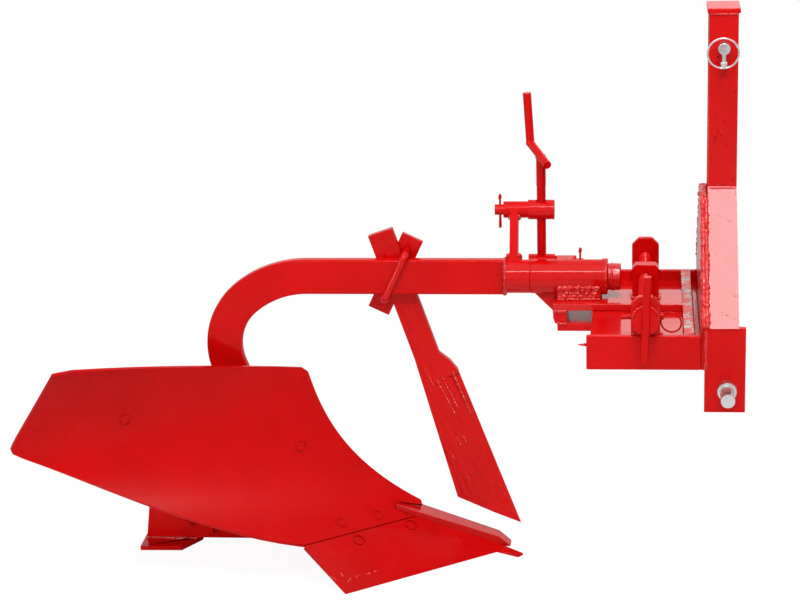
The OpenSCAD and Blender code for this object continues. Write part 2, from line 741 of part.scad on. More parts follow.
// Brace: a rod from the landside up to a pad behind the moldboard's wing
brace_d = 16;
brace_pad = 28;
module wing_brace() {
  px = rear_x + 173;
  pz = 281;
  back = face_back(px, pz);
  seat = behind(px, pz, moldboard_t + share_gap);
  side = cross([0, 0, 1], back) / norm(cross([0, 0, 1], back));
  over = cross(back, side);
  root = [rear_x + 320, frog_y + 4, landside_lift + 44];
  place = [[side[0], over[0], back[0], seat[0]], [side[1], over[1], back[1], seat[1]],
    [side[2], over[2], back[2], seat[2]], [0, 0, 0, 1]];
  color(paint) on_plough() {
    difference() {
      union() {
        multmatrix(place) translate([-brace_pad / 2, -brace_pad / 2, 0]) cube([brace_pad, brace_pad, 7]);
        rod(root, seat + 4 * back, brace_d);
      }
      multmatrix(place) translate([-brace_pad, -brace_pad, -49.5]) cube([2 * brace_pad, 2 * brace_pad, 50]);
    }
    translate([root[0] - 22, frog_y - 2, root[2] - 22]) cube([44, landside_y - frog_y + 2, 44]);
  }
}

// Knife coulter: a flat shank on the beam's left side, widened and sharpened below
coulter_x = bend_x + 0.46 * (collar_x - bend_x);
coulter_y = beam_t / 2 + running_gap;
coulter_bevel = 9;
module coulter() {
  shank = [[-50, beam_z + 66], [-9, beam_z + 80], [66, beam_z - 138], [84, beam_z - 152],
    [97, beam_z - 168]];
  blade = [[202, 42], [93, 90], [23, beam_z - 147]];
  slope = atan2(202 - 97, beam_z - 168 - 42);
  color(paint) on_plough() translate([coulter_x, 0, 0]) difference() {
    side_profile(concat(shank, blade), coulter_y, coulter_y + coulter_t);
    for (side = [-1, 1])
      translate([202, coulter_y + coulter_t / 2, 42]) rotate([0, -slope, 0]) translate([0, side * 1.5, -60])
        rotate([0, 0, -side * coulter_bevel]) translate([-60, side > 0 ? 0 : -60, 0]) cube([120, 60, 352]);
  }
}

// Clamp plate behind the shank, and the bolt bent round the beam
clamp_tilt = 25.5;
clamp_x = coulter_x - 4.5;
clamp_y = coulter_y + coulter_t + running_gap;
clamp_t = 10;
module clamp_frame() {
  on_plough() translate([clamp_x, 0, beam_z]) rotate([0, clamp_tilt, 0]) children();
}

leg_gap = (beam_h + u_bolt_d) / cos(clamp_tilt) + 3;
module coulter_plate() {
  color(paint) difference() {
    clamp_frame() translate([-19, clamp_y, -75]) cube([38, clamp_t, 142]);
    u_bolt_legs(u_bolt_d + 2 * running_gap);
  }
}

nut_stack = 16;
u_bend = 9;
u_near = -beam_t / 2 - u_bolt_d / 2 - running_gap;
module u_bolt_legs(d) {
  clamp_frame() for (side = [-1, 1]) translate([0, u_near + u_bend, side * leg_gap / 2]) rotate([-90, 0, 0])
    cylinder(d = d, h = clamp_y + clamp_t + nut_stack - u_near - u_bend);
}

module coulter_u_bolt() {
  color(paint) {
    u_bolt_legs(u_bolt_d);
    clamp_frame() {
      translate([0, u_near, -leg_gap / 2 + u_bend]) cylinder(d = u_bolt_d, h = leg_gap - 2 * u_bend);
      for (side = [-1, 1]) translate([0, u_near + u_bend, side * (leg_gap / 2 - u_bend)])
        rotate([0, 90, 0]) rotate([0, 0, side > 0 ? 180 : 270])
          rotate_extrude(angle = 90) translate([u_bend, 0]) circle(d = u_bolt_d, $fn = 48);
    }
  }
}

beam();
trunnion();
trunnion_cap();
tilt_arm();
frog();
landside();
heel();
moldboard();
share();
share_bar();
wing_brace();
coulter();
coulter_plate();
coulter_u_bolt();
upper_swivel();
sleeve();
sleeve_lug();
saddle();
carriage_plate();
carriage_spacer();
carriage_keeper();
offset_nut();
lower_swivel();
tilt_screw();
tilt_crank();
tray();
side_bar_right();
side_bar_left();
guide_rail();
offset_bracket_right();
offset_bracket_left();
offset_screw();
offset_lever();
web_plate();
mast_bar_right();
mast_bar_left();
mast_cap();
top_pin();
hitch_bracket_right();
hitch_bracket_left();
hitch_pin_right();
hitch_pin_left();
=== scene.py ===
# %% [markdown]
# # A red one-furrow moldboard plough
# This lesson dresses a plough for a small tractor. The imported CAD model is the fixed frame: every
# plate, bar and pin already stands in its place. Blender adds what a welder, a blacksmith and a
# painter leave behind: rounded bar edges, weld beads, bolts, cotter pins, threads and gloss paint.
# Places and sizes are written in millimetres, in the frame of the CAD model.

# %% Load the frame
import json
import math
import random

import bpy
from mathutils import Matrix, Vector


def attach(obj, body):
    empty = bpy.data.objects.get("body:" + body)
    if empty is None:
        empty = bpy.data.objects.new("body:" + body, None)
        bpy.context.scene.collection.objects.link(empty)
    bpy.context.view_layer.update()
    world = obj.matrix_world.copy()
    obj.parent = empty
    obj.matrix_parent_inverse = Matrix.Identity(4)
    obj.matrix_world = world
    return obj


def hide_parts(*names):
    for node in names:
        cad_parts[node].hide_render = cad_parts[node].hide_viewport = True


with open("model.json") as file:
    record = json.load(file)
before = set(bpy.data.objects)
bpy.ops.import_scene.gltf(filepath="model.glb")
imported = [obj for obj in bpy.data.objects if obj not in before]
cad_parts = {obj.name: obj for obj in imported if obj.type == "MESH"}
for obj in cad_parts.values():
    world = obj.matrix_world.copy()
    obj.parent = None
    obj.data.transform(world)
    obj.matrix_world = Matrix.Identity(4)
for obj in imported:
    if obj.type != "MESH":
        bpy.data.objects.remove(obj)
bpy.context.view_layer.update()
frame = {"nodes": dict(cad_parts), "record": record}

nodes = frame["nodes"]
MM = 0.001
SIDES = ((-1, "right"), (1, "left"))
WHITE = (1, 1, 1, 1)

# %% [markdown]
# ## Camera
# The photograph was taken from a few paces away with a long lens, from a little above and a little
# ahead of the plough. A camera built from its own axes (right, up and back) is easier to match to a
# photograph than one turned by three angles, because the roll stays separate.

# %% Camera
target = Vector((32, 0, 460)) * MM
distance = 4.0
azimuth, elevation, roll = math.radians(6), math.radians(16), math.radians(1.5)

forward = Vector((-math.sin(azimuth) * math.cos(elevation),
                  math.cos(azimuth) * math.cos(elevation), -math.sin(elevation)))
level = Vector((math.cos(azimuth), math.sin(azimuth), 0))
upright = level.cross(forward)
right = math.cos(roll) * level - math.sin(roll) * upright
up = math.sin(roll) * level + math.cos(roll) * upright
eye = target - distance * forward

bpy.ops.object.camera_add()
camera = bpy.context.object
camera.data.lens = 108
camera.data.sensor_width = 36
camera.matrix_world = Matrix((
    (right.x, up.x, -forward.x, eye.x), (right.y, up.y, -forward.y, eye.y),
    (right.z, up.z, -forward.z, eye.z), (0, 0, 0, 1)))
bpy.context.scene.camera = camera
print("camera at", [round(v, 3) for v in eye])

# %% [markdown]
# ## Floor and light
# The picture is a product shot on white. A large pale floor takes the shadow. The world is white to
# the camera and in reflections, and dimmer as a light, so that the red renders about as it is
# written. A bright lamp over the headstock is mirrored by the splayed mast legs, a narrow strip draws
# a thin line along every round bar, and a wide wall of light behind is mirrored by the tray. Low on
# the left, a small lamp draws a line on the clamp bolt, and a narrow beam reaches the heel under the
# wing.

# %% Floor
bpy.ops.mesh.primitive_plane_add(size=30, location=(0, 0, -0.0005))
floor = bpy.context.object
floor.name = "floor"
floor_material = bpy.data.materials.new("pale_floor")
floor_material.use_nodes = True
tree = floor_material.node_tree
floor_shader = tree.nodes["Principled BSDF"]
floor_shader.inputs["Base Color"].default_value = (0.86, 0.86, 0.86, 1)
floor_shader.inputs["Roughness"].default_value = 0.8
glow = tree.nodes.new("ShaderNodeEmission")
glow.inputs["Color"].default_value = WHITE
glow.inputs["Strength"].default_value = 1.07
mix = tree.nodes.new("ShaderNodeMixShader")
seen = tree.nodes.new("ShaderNodeLightPath")
share_of_glow = tree.nodes.new("ShaderNodeMath")
share_of_glow.operation = "MULTIPLY"
share_of_glow.inputs[1].default_value = 0.87
tree.links.new(seen.outputs["Is Camera Ray"], share_of_glow.inputs[0])
tree.links.new(share_of_glow.outputs[0], mix.inputs["Fac"])
tree.links.new(floor_shader.outputs[0], mix.inputs[1])
tree.links.new(glow.outputs[0], mix.inputs[2])
tree.links.new(mix.outputs[0], tree.nodes["Material Output"].inputs["Surface"])
floor.data.materials.append(floor_material)
print("floor ready")

# %% World
world = bpy.data.worlds.new("white_room")
bpy.context.scene.world = world
world.use_nodes = True
tree = world.node_tree
background = tree.nodes["Background"]
background.inputs["Color"].default_value = WHITE
ray = tree.nodes.new("ShaderNodeLightPath")
direct = tree.nodes.new("ShaderNodeMath")
direct.operation = "MAXIMUM"
mirrored = tree.nodes.new("ShaderNodeMath")
mirrored.operation = "MAXIMUM"
strength = tree.nodes.new("ShaderNodeMapRange")
strength.inputs["To Min"].default_value = 0.44
strength.inputs["To Max"].default_value = 1.0
tree.links.new(ray.outputs["Is Camera Ray"], direct.inputs[0])
tree.links.new(ray.outputs["Is Transmission Ray"], direct.inputs[1])
tree.links.new(direct.outputs[0], mirrored.inputs[0])
tree.links.new(ray.outputs["Is Glossy Ray"], mirrored.inputs[1])
tree.links.new(mirrored.outputs[0], strength.inputs["Value"])
tree.links.new(strength.outputs[0], background.inputs["Strength"])
bpy.context.scene.view_settings.view_transform = "Standard"
print("white world ready")

# %% Lamps
def softbox(name, place, aim, size, power):
    bpy.ops.object.light_add(type="AREA", location=place)
    lamp = bpy.context.object
    lamp.name = name
    lamp.data.shape = "RECTANGLE"
    lamp.data.size, lamp.data.size_y = size
    lamp.data.energy = power
    lamp.visible_camera = False
    lamp.rotation_euler = (Vector(aim) - Vector(place)).to_track_quat("-Z", "Y").to_euler()
    return lamp

softbox("ceiling", (0.0, -0.8, 3.2), (0.0, -0.2, 0.4), (3.0, 2.4), 14)
softbox("over_headstock", (0.68, -0.9, 3.0), (0.6, -0.15, 0.5), (0.6, 0.8), 32)
softbox("strip", (0.3, -2.0, 2.75), (0.3, 0.0, 0.45), (2.2, 0.3), 38)
softbox("front_left", (-2.4, -2.5, 0.58), (0.0, 0.0, 0.4), (0.25, 0.25), 6)
softbox("rear_wall", (0.3, 5.5, 2.0), (0.3, 0.0, 0.45), (5.0, 2.0), 12)
under_wing = softbox("under_wing", (-1.1, -1.5, 0.12), (-0.40, 0.05, 0.02), (0.25, 0.1), 0.1)
under_wing.data.spread = math.radians(20)

# %% [markdown]
# ## Gloss red paint
# Farm machines are sprayed with thick gloss enamel. Up close it has a fine orange peel, the colour
# drifts a little, and where steel was forged or welded its marks show through. Small dark pits break
# the gloss on the mast and the tray. One node group makes these signals (colour, roughness, height,
# and how far the gloss covers) for every painted material, each with its own values.

# %% Node tools
def group_socket(group, name, kind, way, value=None):
    socket = group.interface.new_socket(name=name, in_out=way, socket_type=kind)
    if value is not None:
        socket.default_value = value

def add_node(tree, kind, **values):
    node = tree.nodes.new(kind)
    for key, value in values.items():
        setattr(node, key, value)
    return node

def noise(tree, vector, scale, detail=2.0, rough=0.5):
    node = tree.nodes.new("ShaderNodeTexNoise")
    node.inputs["Scale"].default_value = scale
    node.inputs["Detail"].default_value = detail
    node.inputs["Roughness"].default_value = rough
    tree.links.new(vector, node.inputs["Vector"])
    return node.outputs["Fac"]

def math_node(tree, operation, a, b):
    node = add_node(tree, "ShaderNodeMath", operation=operation)
    for socket, value in zip(node.inputs, (a, b)):
        if isinstance(value, (int, float)):
            socket.default_value = value
        else:
            tree.links.new(value, socket)
    return node.outputs[0]

def map_range(tree, value, low, high, to_low, to_high):
    node = tree.nodes.new("ShaderNodeMapRange")
    limits = {"From Min": low, "From Max": high, "To Min": to_low, "To Max": to_high}
    for name, number in limits.items():
        node.inputs[name].default_value = number
    tree.links.new(value, node.inputs["Value"])
    return node.outputs[0]

def mix_colour(tree, factor, a, b):
    node = add_node(tree, "ShaderNodeMix", data_type="RGBA")
    tree.links.new(factor, node.inputs["Factor"])
    for socket, value in ((node.inputs[6], a), (node.inputs[7], b)):
        if isinstance(value, tuple):
            socket.default_value = value
        else:
            tree.links.new(value, socket)
    return node.outputs[2]
print("node tools ready")

# %% Paint group
pit_colour = (0.10, 0.002, 0.002, 1)
paint_film = bpy.data.node_groups.new("paint_film", "ShaderNodeTree")
group_socket(paint_film, "Deep", "NodeSocketColor", "INPUT", (0.55, 0.002, 0.002, 1))
group_socket(paint_film, "Bright", "NodeSocketColor", "INPUT", (0.64, 0.003, 0.0025, 1))
group_socket(paint_film, "Turn", "NodeSocketFloat", "INPUT", 0.0)
group_socket(paint_film, "Stretch", "NodeSocketVector", "INPUT", (1, 1, 1))
group_socket(paint_film, "Peel", "NodeSocketFloat", "INPUT", 0.15)
group_socket(paint_film, "Lumps", "NodeSocketFloat", "INPUT", 0.1)
group_socket(paint_film, "Lump Scale", "NodeSocketFloat", "INPUT", 60)
group_socket(paint_film, "Specks", "NodeSocketFloat", "INPUT", 0.0)
group_socket(paint_film, "Gloss Low", "NodeSocketFloat", "INPUT", 0.20)
group_socket(paint_film, "Gloss High", "NodeSocketFloat", "INPUT", 0.28)
group_socket(paint_film, "Colour", "NodeSocketColor", "OUTPUT")
group_socket(paint_film, "Roughness", "NodeSocketFloat", "OUTPUT")
group_socket(paint_film, "Height", "NodeSocketFloat", "OUTPUT")
group_socket(paint_film, "Cover", "NodeSocketFloat", "OUTPUT")
tree = paint_film
inside = tree.nodes.new("NodeGroupInput")
outside = tree.nodes.new("NodeGroupOutput")
place = tree.nodes.new("ShaderNodeTexCoord").outputs["Object"]
print("paint group sockets:", len(paint_film.interface.items_tree))

# %% Paint colour and pits
drift = map_range(tree, noise(tree, place, scale=9, detail=3), 0.3, 0.7, 0, 1)
tint = mix_colour(tree, drift, inside.outputs["Deep"], inside.outputs["Bright"])
pits = add_node(tree, "ShaderNodeTexVoronoi", feature="F1")
pits.inputs["Scale"].default_value = 120
tree.links.new(place, pits.inputs["Vector"])
near_pit = map_range(tree, pits.outputs["Distance"], 0.15, 0.20, 1, 0)
patchy = map_range(tree, noise(tree, place, scale=16), 0.42, 0.52, 0, 1)
pitted = math_node(tree, "MULTIPLY", near_pit, patchy)
speck = math_node(tree, "MULTIPLY", pitted, inside.outputs["Specks"])
tree.links.new(mix_colour(tree, speck, tint, pit_colour), outside.inputs["Colour"])
tree.links.new(math_node(tree, "SUBTRACT", 1.0, speck), outside.inputs["Cover"])
print("paint colour ready")

# %% Paint roughness and height
satin = add_node(tree, "ShaderNodeMapRange")
satin.inputs["From Min"].default_value = 0.3
satin.inputs["From Max"].default_value = 0.7
tree.links.new(noise(tree, place, scale=30, detail=3), satin.inputs["Value"])
tree.links.new(inside.outputs["Gloss Low"], satin.inputs["To Min"])
tree.links.new(inside.outputs["Gloss High"], satin.inputs["To Max"])
tree.links.new(satin.outputs[0], outside.inputs["Roughness"])

turned = add_node(tree, "ShaderNodeVectorRotate", rotation_type="Y_AXIS")
tree.links.new(place, turned.inputs["Vector"])
tree.links.new(inside.outputs["Turn"], turned.inputs["Angle"])
stretched = add_node(tree, "ShaderNodeVectorMath", operation="MULTIPLY")
tree.links.new(turned.outputs[0], stretched.inputs[0])
tree.links.new(inside.outputs["Stretch"], stretched.inputs[1])
lumps = tree.nodes.new("ShaderNodeTexNoise")
lumps.inputs["Detail"].default_value = 3
tree.links.new(stretched.outputs[0], lumps.inputs["Vector"])
tree.links.new(inside.outputs["Lump Scale"], lumps.inputs["Scale"])
fine = noise(tree, place, scale=420, detail=1.5)
peel = math_node(tree, "MULTIPLY", fine, inside.outputs["Peel"])
bumps = math_node(tree, "MULTIPLY", lumps.outputs["Fac"], inside.outputs["Lumps"])
tree.links.new(math_node(tree, "ADD", peel, bumps), outside.inputs["Height"])
print("paint relief ready")

# %% [markdown]
# ## Paint for each kind of piece
# The film is the same everywhere, but what lies under it differs: rolled bar, sheet, forged steel or
# a weld. A material is one copy of the group with its own values, so a change to the film reaches
# every piece. The clear coat gives the sharp reflections, and it is strongest on the mast, the tray
# and the tubes.

# %% Painted materials
def painted(name, bump, coat, specular=0.03, depth=0.001, **values):
    material = bpy.data.materials.new(name)
    material.use_nodes = True
    tree = material.node_tree
    shader = tree.nodes["Principled BSDF"]
    film = tree.nodes.new("ShaderNodeGroup")
    film.node_tree = paint_film
    for key, value in values.items():
        film.inputs[key.replace("_", " ").title()].default_value = value
    relief = tree.nodes.new("ShaderNodeBump")
    relief.inputs["Strength"].default_value = bump
    relief.inputs["Distance"].default_value = depth
    tree.links.new(film.outputs["Colour"], shader.inputs["Base Color"])
    tree.links.new(film.outputs["Roughness"], shader.inputs["Roughness"])
    tree.links.new(film.outputs["Height"], relief.inputs["Height"])
    tree.links.new(relief.outputs[0], shader.inputs["Normal"])
    shader.inputs["Specular IOR Level"].default_value = specular
    shader.inputs["Coat Weight"].default_value = coat
    shader.inputs["Coat Roughness"].default_value = 0.06
    if "specks" in values:
        covered = math_node(tree, "MULTIPLY", film.outputs["Cover"], coat)
        tree.links.new(covered, shader.inputs["Coat Weight"])
    return material

bar_paint = painted("red_bar_paint", bump=0.15, coat=0.16, peel=0.12, lumps=0.4, lump_scale=40)
mast_paint = painted("red_mast_paint", bump=0.2, coat=0.4,
                     peel=0.15, lumps=0.4, lump_scale=30, specks=0.8)
tray_paint = painted("red_tray_paint", bump=0.2, coat=0.6,
                     peel=0.15, lumps=0.4, lump_scale=30, specks=0.8)
tube_paint = painted("red_tube_paint", bump=0.1, coat=0.4, specular=0.0,
                     peel=0.12, lumps=0.3, lump_scale=30)
plate_paint = painted("red_plate_paint", bump=0.15, coat=0.22, peel=0.15, lumps=0.35, lump_scale=28)
print("bar, mast, tray, tube and plate paint ready")

# %% Paint on the blades and the welds
# The moldboard, the share, its bar and their bolt heads get a darker copy of the same red paint, which
# is painted shade.
shaded_deep, shaded_bright = (0.475, 0.0015, 0.0015, 1), (0.555, 0.002, 0.002, 1)
board_paint = painted("red_board_paint", bump=0.06, coat=0.0, specular=0.09,
                      peel=0.15, lumps=0.3, lump_scale=14, gloss_low=0.26, gloss_high=0.32,
                      deep=shaded_deep, bright=shaded_bright)
forged_paint = painted("red_forged_paint", bump=0.6, coat=0.06, specular=0.1,
                       peel=0.1, lumps=1.0, lump_scale=60, deep=shaded_deep, bright=shaded_bright)
knife_paint = painted("red_knife_paint", bump=1.0, depth=0.004, coat=0.0, specular=0.14,
                      turn=0.36, stretch=(1, 1, 0.12),
                      peel=0.08, lumps=1.0, lump_scale=110, gloss_low=0.10, gloss_high=0.2)
weld_paint = painted("red_weld_paint", bump=0.8, coat=0.3, specular=0.4,
                     peel=0.2, lumps=1.0, lump_scale=190, gloss_low=0.10, gloss_high=0.2)
print("board, forged, knife and weld paint ready")

# %% [markdown]
# ## Zinc on the link pins
# The pins that the tractor's links swing on aren't painted. They are turned from bar and plated with
# zinc, so fine turning rings run round them and the metal is bright with a slightly cloudy tone. A
# wave texture across the pins makes the rings, and one noise makes both the tone and the gloss uneven,
# as plating does.

# %% Zinc
zinc_dull, zinc_bright = (0.50, 0.50, 0.50, 1), (0.74, 0.74, 0.72, 1)
zinc = bpy.data.materials.new("bright_zinc")
zinc.use_nodes = True
tree = zinc.node_tree
shader = tree.nodes["Principled BSDF"]
place = tree.nodes.new("ShaderNodeTexCoord").outputs["Object"]
cloud = noise(tree, place, scale=70, detail=3)
rings = add_node(tree, "ShaderNodeTexWave", wave_type="BANDS", bands_direction="Y")
rings.inputs["Scale"].default_value = 400
rings.inputs["Distortion"].default_value = 1.5
tree.links.new(place, rings.inputs["Vector"])
tree.links.new(mix_colour(tree, cloud, zinc_dull, zinc_bright), shader.inputs["Base Color"])
tree.links.new(map_range(tree, cloud, 0.3, 0.7, 0.22, 0.40), shader.inputs["Roughness"])
relief = tree.nodes.new("ShaderNodeBump")
relief.inputs["Strength"].default_value = 0.15
relief.inputs["Distance"].default_value = 0.0004
tree.links.new(rings.outputs["Fac"], relief.inputs["Height"])
tree.links.new(relief.outputs[0], shader.inputs["Normal"])
shader.inputs["Metallic"].default_value = 1.0
print("zinc ready")

# %% [markdown]
# ## Paint rubbed off the guide rail
# The carriage plate slides under the guide rail, so the rail has lost paint along its edge. Grey
# primer shows in patches, with dark marks between them. The paint's own colour is mixed with these two
# by noise, so that the patches have torn outlines and not round ones.

# %% Worn paint
primer, dirt = (0.46, 0.40, 0.36, 1), (0.06, 0.03, 0.03, 1)
worn = painted("red_worn_paint", bump=0.3, coat=0.05, specular=0.1,
               peel=0.2, lumps=0.8, lump_scale=60)
tree = worn.node_tree
shader = tree.nodes["Principled BSDF"]
film_colour = shader.inputs["Base Color"].links[0].from_socket
place = tree.nodes.new("ShaderNodeTexCoord").outputs["Object"]
rubbed = map_range(tree, noise(tree, place, scale=38, detail=5, rough=0.7), 0.50, 0.56, 0, 1)
dirty = map_range(tree, noise(tree, place, scale=85, detail=4, rough=0.7), 0.56, 0.62, 0, 1)
bare = mix_colour(tree, dirty, primer, dirt)
tree.links.new(mix_colour(tree, rubbed, film_colour, bare), shader.inputs["Base Color"])
print("worn paint ready")

# %% [markdown]
# ## Rounded edges on bars and plates
# Rolled bars have soft corners, and paint runs thin on them, so a thin bright line follows each
# edge. A copy of the node is merged from loose triangles into clean faces, and a bevel modifier
# rounds the sharp edges. Weighted normals then let the large faces stay flat, so that the round
# edges don't bend the shading beside them. The copy replaces the node in the picture. The moldboard
# keeps all its faces, because they carry its twist, and the share keeps crisp ridges.

# %% Rounding tool
def body_of(node):
    for body, names in frame["record"]["behaviour"]["bodies"].items():
        if node in names:
            return body

def rounded(node, radius, material, flat=1.0, smooth=35, slot="red_paint"):
    bpy.ops.object.select_all(action="DESELECT")
    source = nodes[node]
    source.select_set(True)
    bpy.context.view_layer.objects.active = source
    bpy.ops.object.duplicate()
    piece = bpy.context.object
    piece.name = node + "_rounded"
    bpy.ops.object.mode_set(mode="EDIT")
    bpy.ops.mesh.select_all(action="SELECT")
    bpy.ops.mesh.remove_doubles(threshold=0.0002)
    bpy.ops.mesh.dissolve_limited(angle_limit=math.radians(flat))
    bpy.ops.object.mode_set(mode="OBJECT")
    bevel = piece.modifiers.new("rounded_edges", "BEVEL")
    bevel.width = radius * MM
    bevel.segments = 2
    bevel.limit_method = "ANGLE"
    bevel.angle_limit = math.radians(35)
    bevel.use_clamp_overlap = True
    bpy.ops.object.modifier_apply(modifier=bevel.name)
    bpy.ops.object.shade_smooth_by_angle(angle=math.radians(smooth))
    flat_faces = piece.modifiers.new("flat_faces", "WEIGHTED_NORMAL")
    flat_faces.keep_sharp = True
    bpy.ops.object.modifier_apply(modifier=flat_faces.name)
    piece.data.materials.clear()
    piece.data.materials.append(material)
    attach(piece, body_of(node))
    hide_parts(node)
    return piece
print("rounding tool ready")

# %% Round the bars and plates
edge_radius = {
    "beam": (3.5, bar_paint),
    "mast_bar_right": (3.0, mast_paint), "mast_bar_left": (3.0, mast_paint),
    "mast_cap": (1.5, plate_paint), "web_plate": (1.5, plate_paint), "tray": (1.5, tray_paint),
    "side_bar_right": (2.0, bar_paint), "side_bar_left": (2.0, bar_paint),
    "guide_rail": (0.8, worn),
    "hitch_bracket_right": (2.0, bar_paint), "hitch_bracket_left": (2.0, bar_paint),
    "offset_bracket_right": (1.5, plate_paint), "offset_bracket_left": (1.5, plate_paint),
    "carriage_plate": (1.5, tray_paint), "carriage_spacer": (1.5, plate_paint),
    "carriage_keeper": (1.5, plate_paint), "offset_nut": (1.5, plate_paint),
    "saddle": (1.0, plate_paint), "sleeve": (1.2, tube_paint), "sleeve_lug": (1.0, bar_paint),
    "trunnion": (1.2, tube_paint), "trunnion_cap": (2.5, weld_paint), "tilt_arm": (1.2, bar_paint),
    "upper_swivel": (1.2, tube_paint), "lower_swivel": (1.2, tube_paint),
    "tilt_screw": (1.0, bar_paint), "tilt_crank": (1.0, bar_paint),
    "offset_screw": (1.5, bar_paint), "offset_lever": (1.2, bar_paint),
    "coulter": (1.5, knife_paint), "coulter_plate": (1.5, bar_paint),
    "coulter_u_bolt": (1.0, tube_paint), "frog": (1.0, plate_paint), "landside": (1.5, bar_paint),
    "heel": (1.5, bar_paint), "share": (0.6, forged_paint), "share_bar": (1.2, forged_paint),
    "wing_brace": (1.0, bar_paint), "moldboard": (1.2, board_paint),
    "top_pin": (1.5, zinc), "hitch_pin_right": (1.5, zinc), "hitch_pin_left": (1.5, zinc),
}
special = {"moldboard": {"flat": 0.01}, "share": {"smooth": 8}}
for node, (radius, material) in edge_radius.items():
    slot = "zinc" if material is zinc else "red_paint"
    rounded(node, radius, material, slot=slot, **special.get(node, {}))
print("rounded pieces:", len(edge_radius))

# %% [markdown]
# ## Tools for the small parts
# A bolt or a cotter pin is modelled once near the origin. Every one on the plough is a copy with its
# own mesh, moved to its place, and then its place is written into the mesh, so that the finished
# object stands unturned at the origin.

# %% Selecting, changing and placing
def only(*objects):
    bpy.ops.object.select_all(action="DESELECT")
    for item in objects:
        item.select_set(True)
    bpy.context.view_layer.objects.active = objects[0]

def modifier(piece, kind, **values):
    only(piece)
    change = piece.modifiers.new(kind.lower(), kind)
    for key, value in values.items():
        setattr(change, key, value)
    bpy.ops.object.modifier_apply(modifier=change.name)

def write_place(piece):
    only(piece)
    bpy.ops.object.transform_apply(location=True, rotation=True, scale=True)

def copy_of(model, matrix):
    piece = model.copy()
    piece.data = model.data.copy()
    bpy.context.scene.collection.objects.link(piece)
    piece.matrix_world = matrix
    return piece

def settle(piece, name, body, material, angle=35):
    write_place(piece)
    bpy.ops.object.shade_smooth_by_angle(angle=math.radians(angle))
    piece.name = name
    piece.data.name = name
    piece.data.materials.clear()
    piece.data.materials.append(material)
    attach(piece, body)
    return piece

def discard(*pieces):
    only(*pieces)
    bpy.ops.object.delete()
print("placing tools ready")

# %% Rods and joined pieces
def along(place, direction):
    turn = Vector(direction).to_track_quat("Z", "Y").to_matrix().to_4x4()
    return Matrix.Translation(Vector(place) * MM) @ turn

def rod(start, end, radius, vertices=20):
    start, end = Vector(start), Vector(end)
    length = (end - start).length
    bpy.ops.object.select_all(action="DESELECT")
    bpy.ops.mesh.primitive_cylinder_add(vertices=vertices, radius=radius * MM, depth=length * MM)
    piece = bpy.context.object
    piece.matrix_world = along((start + end) / 2, end - start)
    return piece

def joined(*pieces):
    only(*pieces)
    bpy.ops.object.join()
    return bpy.context.object
print("rods ready")

# %% [markdown]
# ## Weld beads
# The headstock, the carriage and the tilt arm are welded up from plates and bars. A bead is a row of
# drops of melted steel, each frozen half over the last one. That is also how it is made here: a row
# of uneven drops along the joint, melted into one skin by a voxel remesh. A swept tube would be
# quicker, but it would look like a cable.

# %% Weld tool
chance = random.Random(7)
DROP_STEP, DROP_WANDER, VOXEL_SHARE = 0.85, 0.15, 0.24
bpy.ops.object.select_all(action="DESELECT")
bpy.ops.mesh.primitive_ico_sphere_add(subdivisions=2, radius=1)
weld_drop = bpy.context.object

def stepped(path, pitch, closed):
    corners = [Vector(point) for point in path]
    if closed:
        corners.append(corners[0])
    spots = []
    for start, end in zip(corners, corners[1:]):
        steps = max(1, round((end - start).length / pitch))
        spots += [start.lerp(end, i / steps) for i in range(steps)]
    return spots + [corners[-1]]

def bead(name, body, path, radius, closed=False, rough=0.22):
    drops = []
    for spot in stepped(path, radius * DROP_STEP, closed):
        size = radius * chance.uniform(1 - rough, 1 + rough) * MM
        wander = Vector([chance.uniform(-DROP_WANDER, DROP_WANDER) * radius for axis in range(3)])
        place = Matrix.Translation((spot + wander) * MM)
        drops.append(copy_of(weld_drop, place @ Matrix.Diagonal((size, size, size, 1))))
    piece = joined(*drops)
    write_place(piece)
    modifier(piece, "REMESH", mode="VOXEL", voxel_size=radius * VOXEL_SHARE * MM)
    modifier(piece, "SMOOTH", iterations=2)
    return settle(piece, name, body, weld_paint, angle=60)
print("weld tool ready")

# %% Weld paths
AXIS_Y, AXIS_Z = 45, 489
COLLAR_X, SLEEVE_END_X = 205.7, 375.0
SCREW_X, SCREW_Y = 264.7, AXIS_Y + 48
OFFSET_X, OFFSET_Z = 439, 485.5
ALONG_X, ALONG_Y, ALONG_Z = (1, 0, 0), (0, 1, 0), (0, 0, 1)

def ring(place, axis, radius, count=48):
    turn = Vector(axis).to_track_quat("Z", "Y").to_matrix()
    angles = [2 * math.pi * i / count for i in range(count)]
    spokes = [Vector((radius * math.cos(a), radius * math.sin(a), 0)) for a in angles]
    return [Vector(place) + turn @ spoke for spoke in spokes]

def trunnion_ring(x, radius):
    return ring((x, AXIS_Y, AXIS_Z), ALONG_X, radius)

def level_run(start_x, end_x, y, z):
    return [(start_x, y, z), (end_x, y, z)]

def upright_run(x, y, start_z, end_z):
    return [(x, y, start_z), (x, y, end_z)]
print("weld paths ready")

# %% [markdown]
# ### Welds on the beam's head
# The beam's flat end is welded to the round collar, so the bead runs round the collar and down both
# sides of the bar. The tilt arm flares where it meets the collar, because its weld is built up there.

# %% Beam and tilt arm welds
half_bar, half_beam = 10, 27
bead("weld_collar", "plough", trunnion_ring(COLLAR_X, 27.5), radius=3.2, closed=True)
for side, name in SIDES:
    y = AXIS_Y + side * half_bar
    path = upright_run(COLLAR_X - 1, y, AXIS_Z - half_beam, AXIS_Z + half_beam)
    bead("weld_beam_end_" + name, "plough", path, radius=4.0)

